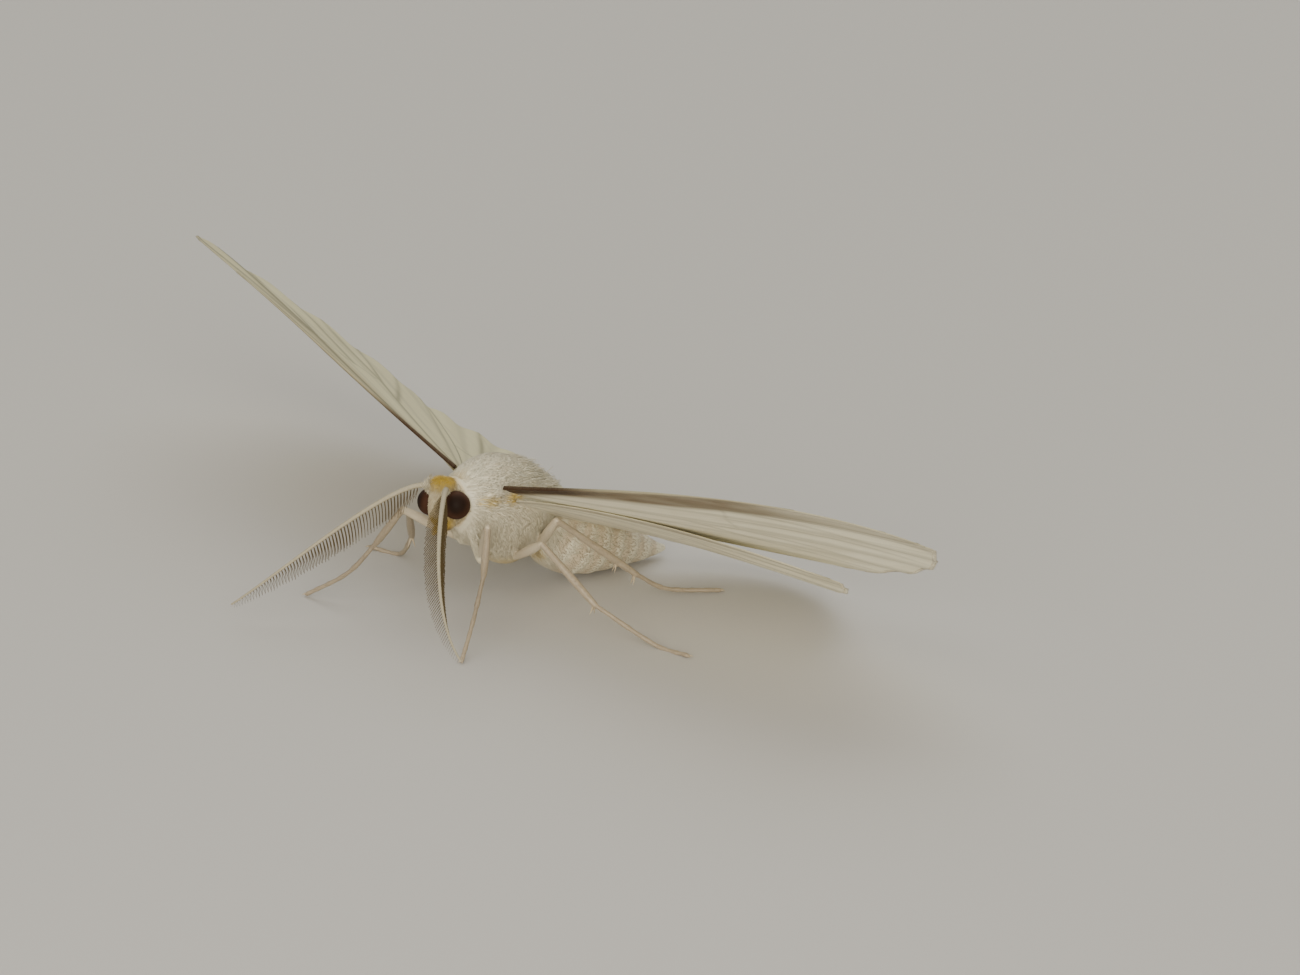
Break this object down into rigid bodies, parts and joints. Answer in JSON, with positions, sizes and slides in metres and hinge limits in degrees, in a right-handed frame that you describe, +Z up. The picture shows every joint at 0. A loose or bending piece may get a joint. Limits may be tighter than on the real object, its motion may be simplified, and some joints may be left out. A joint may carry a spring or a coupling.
{
  "type": "moth",
  "caption": "White looper moth at rest with half-spread wings, feathered antennae and sloping body, standing on its feet.",
  "frame": {"origin": "middle of the moth's bounding box, on the floor that it stands on", "axes": "+Z up, -Y the way the moth faces, +X its left"},
  "size_m": [0.0406, 0.018, 0.0089],
  "materials": {
    "scales": "satin white scales and hair",
    "wing": "thin, finely scaled, satin",
    "eye": "dark brown, slightly glossy",
    "antenna": "white stalk with olive brown comb",
    "leg": "cream scales, browner inside"
  },
  "bodies": {
    "root": {"head": "scales", "eye_left": "eye", "eye_right": "eye", "antenna_left": "antenna", "antenna_right": "antenna", "thorax": "scales", "abdomen": "scales", "forewing_left": "wing", "forewing_right": "wing", "hindwing_left": "wing", "hindwing_right": "wing", "leg_fore_left_femur": "leg", "leg_fore_left_tibia": "leg", "leg_fore_left_tarsus": "leg", "leg_fore_right_femur": "leg", "leg_fore_right_tibia": "leg", "leg_fore_right_tarsus": "leg", "leg_mid_left_femur": "leg", "leg_mid_left_tibia": "leg", "leg_mid_left_tarsus": "leg", "leg_mid_right_femur": "leg", "leg_mid_right_tibia": "leg", "leg_mid_right_tarsus": "leg", "leg_hind_left_femur": "leg", "leg_hind_left_tibia": "leg", "leg_hind_left_tarsus": "leg", "leg_hind_right_femur": "leg", "leg_hind_right_tibia": "leg", "leg_hind_right_tarsus": "leg"}
  },
  "joints": []
}
